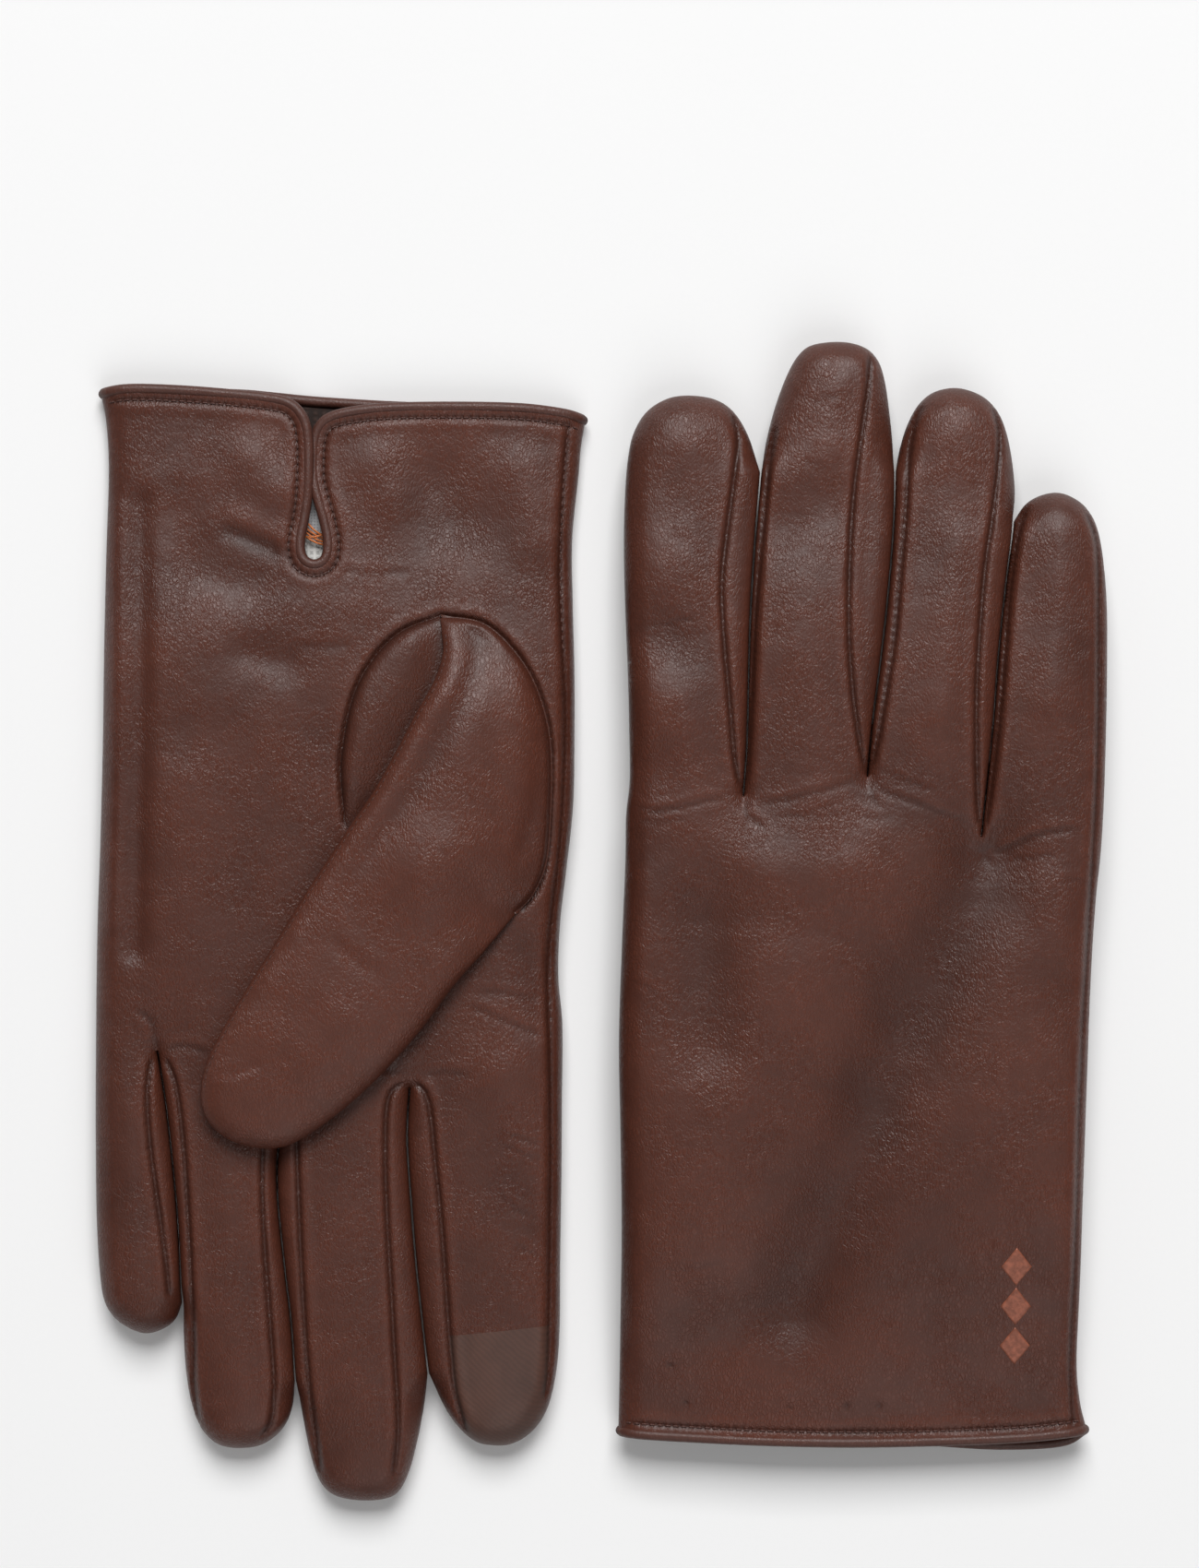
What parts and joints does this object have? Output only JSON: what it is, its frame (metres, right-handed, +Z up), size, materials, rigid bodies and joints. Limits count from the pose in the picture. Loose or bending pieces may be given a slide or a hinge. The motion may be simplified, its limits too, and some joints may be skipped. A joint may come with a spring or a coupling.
{
  "type": "pair of touchscreen gloves",
  "caption": "Pair of lined dress gloves in dark brown leather laid flat, one palm up and one back up, with fourchettes, bound vented cuffs and touch patches on the index fingertips.",
  "frame": {"origin": "centre of the pair's footprint, on the surface the gloves lie on", "axes": "+Z up, +Y towards the right glove's fingertips, +X from the left glove to the right glove"},
  "size_m": [0.225, 0.259, 0.022],
  "materials": {
    "leather": "smooth fine-grained nappa, soft sheen",
    "binding_leather": "smooth rolled leather, soft sheen",
    "touch_leather": "conductive coated leather, matt",
    "lining": "fine brushed knit",
    "thread": "polyester sewing thread",
    "label_thread": "orange sewing thread",
    "satin_label": "grey woven satin",
    "care_label": "off-white printed tape, left blank",
    "emblem_foil": "copper-toned hot foil"
  },
  "bodies": {
    "left_hand": {"left_back_panel": "leather", "left_palm_panel": "leather", "left_index_middle_fourchette": "leather", "left_middle_ring_fourchette": "leather", "left_ring_little_fourchette": "leather", "left_cuff_binding": "binding_leather", "left_cuff_stitching": "thread", "left_hand_lining": "lining", "left_size_label": "satin_label", "left_care_label": "care_label", "left_label_stitching": "label_thread"},
    "left_thumb": {"left_thumb": "leather", "left_thumb_lining": "lining"},
    "left_index": {"left_index_back": "leather", "left_index_palm": "leather", "left_index_sides": "leather", "left_index_lining": "lining", "left_touch_patch": "touch_leather"},
    "left_middle": {"left_middle_back": "leather", "left_middle_palm": "leather", "left_middle_sides": "leather", "left_middle_lining": "lining"},
    "left_ring": {"left_ring_back": "leather", "left_ring_palm": "leather", "left_ring_sides": "leather", "left_ring_lining": "lining"},
    "left_little": {"left_little_back": "leather", "left_little_palm": "leather", "left_little_sides": "leather", "left_little_lining": "lining"},
    "right_hand": {"right_back_panel": "leather", "right_palm_panel": "leather", "right_index_middle_fourchette": "leather", "right_middle_ring_fourchette": "leather", "right_ring_little_fourchette": "leather", "right_cuff_binding": "binding_leather", "right_cuff_stitching": "thread", "right_hand_lining": "lining", "right_emblem": "emblem_foil"},
    "right_thumb": {"right_thumb": "leather", "right_thumb_lining": "lining"},
    "right_index": {"right_index_back": "leather", "right_index_palm": "leather", "right_index_sides": "leather", "right_index_lining": "lining", "right_touch_patch": "touch_leather"},
    "right_middle": {"right_middle_back": "leather", "right_middle_palm": "leather", "right_middle_sides": "leather", "right_middle_lining": "lining"},
    "right_ring": {"right_ring_back": "leather", "right_ring_palm": "leather", "right_ring_sides": "leather", "right_ring_lining": "lining"},
    "right_little": {"right_little_back": "leather", "right_little_palm": "leather", "right_little_sides": "leather", "right_little_lining": "lining"}
  },
  "joints": [
    {"name": "right_glove_lift", "type": "slide", "parent": "left_hand", "child": "right_hand", "axis": [0, 0, 1], "range_m": [0, 0.12]},
    {"name": "left_thumb_swing", "type": "hinge", "parent": "left_hand", "child": "left_thumb", "pos_m": [-0.04, 0.006, 0.0178], "axis": [0, 0, 1], "range_deg": [0, 45]},
    {"name": "left_index_bend", "type": "hinge", "parent": "left_hand", "child": "left_index", "pos_m": [-0.0233, -0.066, 0.0135], "axis": [-1, 0, 0], "range_deg": [0, 80]},
    {"name": "left_middle_bend", "type": "hinge", "parent": "left_hand", "child": "left_middle", "pos_m": [-0.0561, -0.068, 0.0135], "axis": [-1, 0, 0], "range_deg": [0, 80]},
    {"name": "left_ring_bend", "type": "hinge", "parent": "left_hand", "child": "left_ring", "pos_m": [-0.0826, -0.066, 0.0135], "axis": [-1, 0, 0], "range_deg": [0, 80]},
    {"name": "left_little_bend", "type": "hinge", "parent": "left_hand", "child": "left_little", "pos_m": [-0.1041, -0.058, 0.0135], "axis": [-1, 0, 0], "range_deg": [0, 80]},
    {"name": "right_thumb_swing", "type": "hinge", "parent": "right_hand", "child": "right_thumb", "pos_m": [0.04, -0.006, 0.004], "axis": [0, 0, 1], "range_deg": [0, 45]},
    {"name": "right_index_bend", "type": "hinge", "parent": "right_hand", "child": "right_index", "pos_m": [0.0193, 0.066, 0.0218], "axis": [1, 0, 0], "range_deg": [0, 80]},
    {"name": "right_middle_bend", "type": "hinge", "parent": "right_hand", "child": "right_middle", "pos_m": [0.0485, 0.068, 0.0218], "axis": [1, 0, 0], "range_deg": [0, 80]},
    {"name": "right_ring_bend", "type": "hinge", "parent": "right_hand", "child": "right_ring", "pos_m": [0.0763, 0.066, 0.0218], "axis": [1, 0, 0], "range_deg": [0, 80]},
    {"name": "right_little_bend", "type": "hinge", "parent": "right_hand", "child": "right_little", "pos_m": [0.101, 0.058, 0.0218], "axis": [1, 0, 0], "range_deg": [0, 80]}
  ]
}
